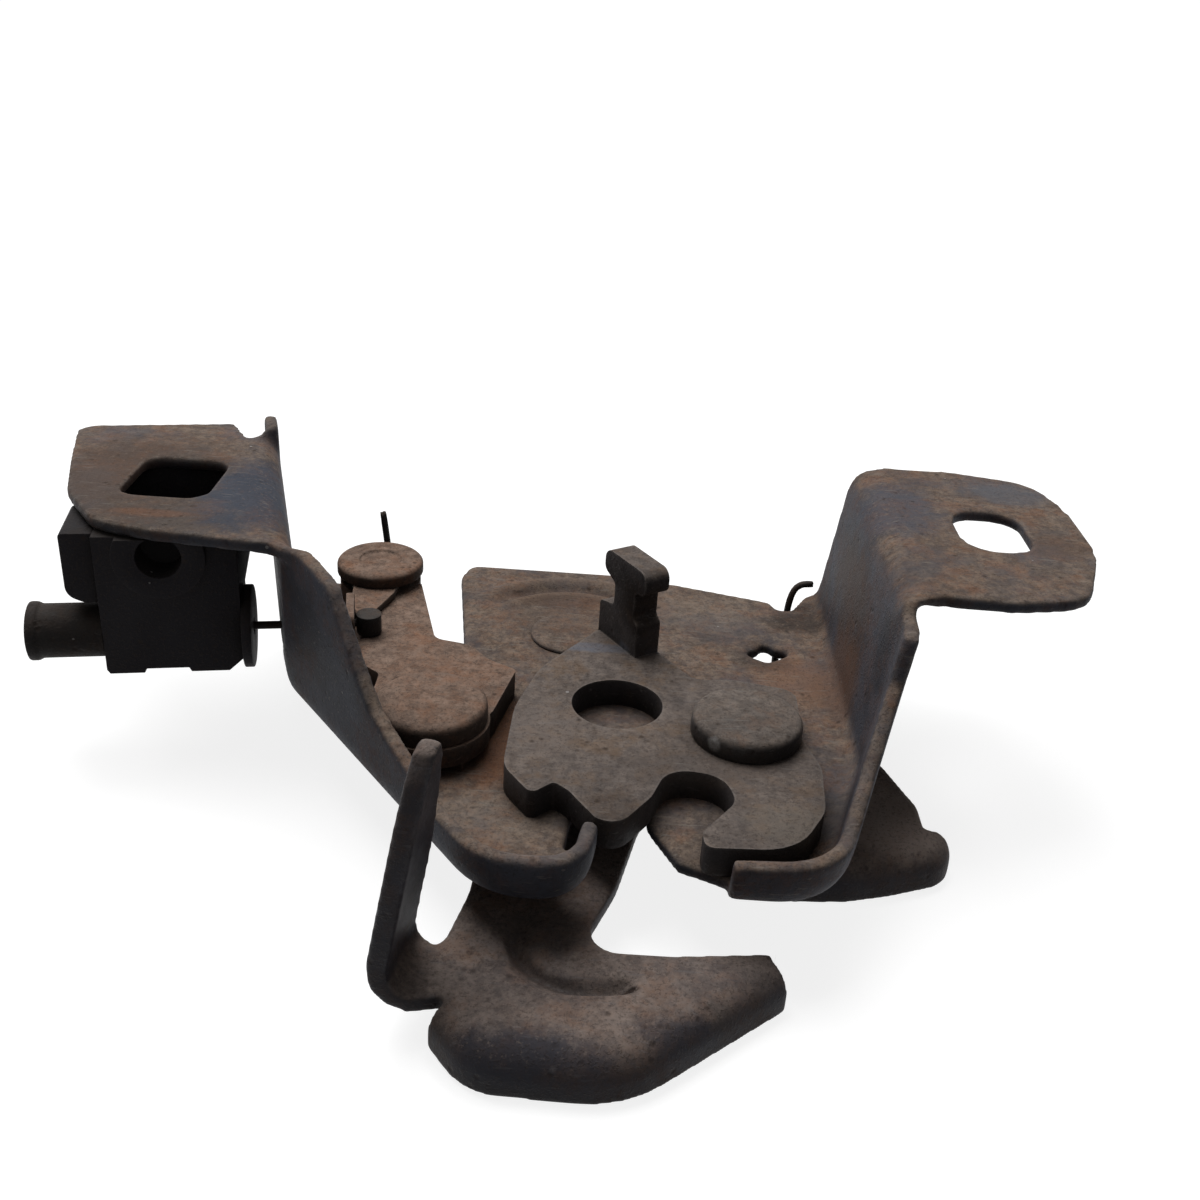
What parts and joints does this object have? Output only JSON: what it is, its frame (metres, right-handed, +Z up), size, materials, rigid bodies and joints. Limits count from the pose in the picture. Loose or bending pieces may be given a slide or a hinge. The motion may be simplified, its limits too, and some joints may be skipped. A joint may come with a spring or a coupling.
{
  "type": "vehicle hood latch",
  "caption": "Bonnet latch: folded sheet bracket with a rotary claw, a pawl pulled by a wire cable and a sprung safety catch, bolted up by two slotted flanges.",
  "frame": {"origin": "middle between the two mounting slots, on the seating face of the flanges", "axes": "+X towards the right slot, +Y to the rear, along the striker's way in, +Z up, out of the flanges' seating face"},
  "size_m": [0.1864, 0.125, 0.0463],
  "materials": {
    "base_plate": "worn dark paint, dust and rust",
    "claw": "worn dark coating, dusty",
    "pawl": "worn dark coating, rusty",
    "claw_rivet": "dull steel, dusty",
    "pawl_rivet": "dull steel, rusty",
    "safety_rivet": "dull steel, dusty",
    "catch_spacer": "plain steel, dull",
    "catch_washer": "plain steel, dull",
    "safety_catch": "worn dark paint, dust and rust",
    "arm_pin": "dull steel, rusty",
    "cable_hook": "dull sheet steel, rusty",
    "wire_nipple": "dull metal",
    "inner_wire": "twisted wire, dull",
    "clamp_housing": "black plastic, dusty",
    "clamp_cover": "black plastic, dusty",
    "cable_ferrule": "dark metal, dusty",
    "ferrule_collar": "dark plastic, dusty",
    "claw_spring": "dark spring wire",
    "pawl_spring": "dark spring wire",
    "catch_spring": "dark spring wire"
  },
  "bodies": {
    "bracket": {"base_plate": "base_plate", "claw_rivet": "claw_rivet", "pawl_rivet": "pawl_rivet", "safety_rivet": "safety_rivet", "catch_spacer": "catch_spacer", "catch_washer": "catch_washer", "clamp_housing": "clamp_housing", "clamp_cover": "clamp_cover", "cable_ferrule": "cable_ferrule", "ferrule_collar": "ferrule_collar", "claw_spring": "claw_spring", "pawl_spring": "pawl_spring", "catch_spring": "catch_spring"},
    "claw": {"claw": "claw"},
    "pawl": {"pawl": "pawl", "arm_pin": "arm_pin", "cable_hook": "cable_hook"},
    "safety_catch": {"safety_catch": "safety_catch"},
    "wire": {"inner_wire": "inner_wire", "wire_nipple": "wire_nipple"}
  },
  "joints": [
    {"name": "claw_turn", "type": "hinge", "parent": "bracket", "child": "claw", "pos_m": [0.029, -0.034, -0.0265], "axis": [0, 0, 1], "range_deg": [-50, 0], "stiffness_Nm_per_rad": 0.4, "springref_deg": 28.65},
    {"name": "pawl_turn", "type": "hinge", "parent": "bracket", "child": "pawl", "pos_m": [-0.022, -0.0355, -0.0265], "axis": [0, 0, 1], "range_deg": [0, 8], "stiffness_Nm_per_rad": 0.4, "springref_deg": -28.65},
    {"name": "safety_catch_turn", "type": "hinge", "parent": "bracket", "child": "safety_catch", "pos_m": [-0.001, 0.004, -0.0387], "axis": [0, 0, 1], "range_deg": [-20, 0], "stiffness_Nm_per_rad": 0.4, "springref_deg": 28.65},
    {"name": "wire_pull", "type": "slide", "parent": "bracket", "child": "wire", "axis": [-0.9816, -0.1908, 0], "range_m": [0, 0.0042]}
  ],
  "couplings": [
    {"joint": "wire_pull", "follows": "pawl_turn", "m_per_rad": 0.0289}
  ]
}
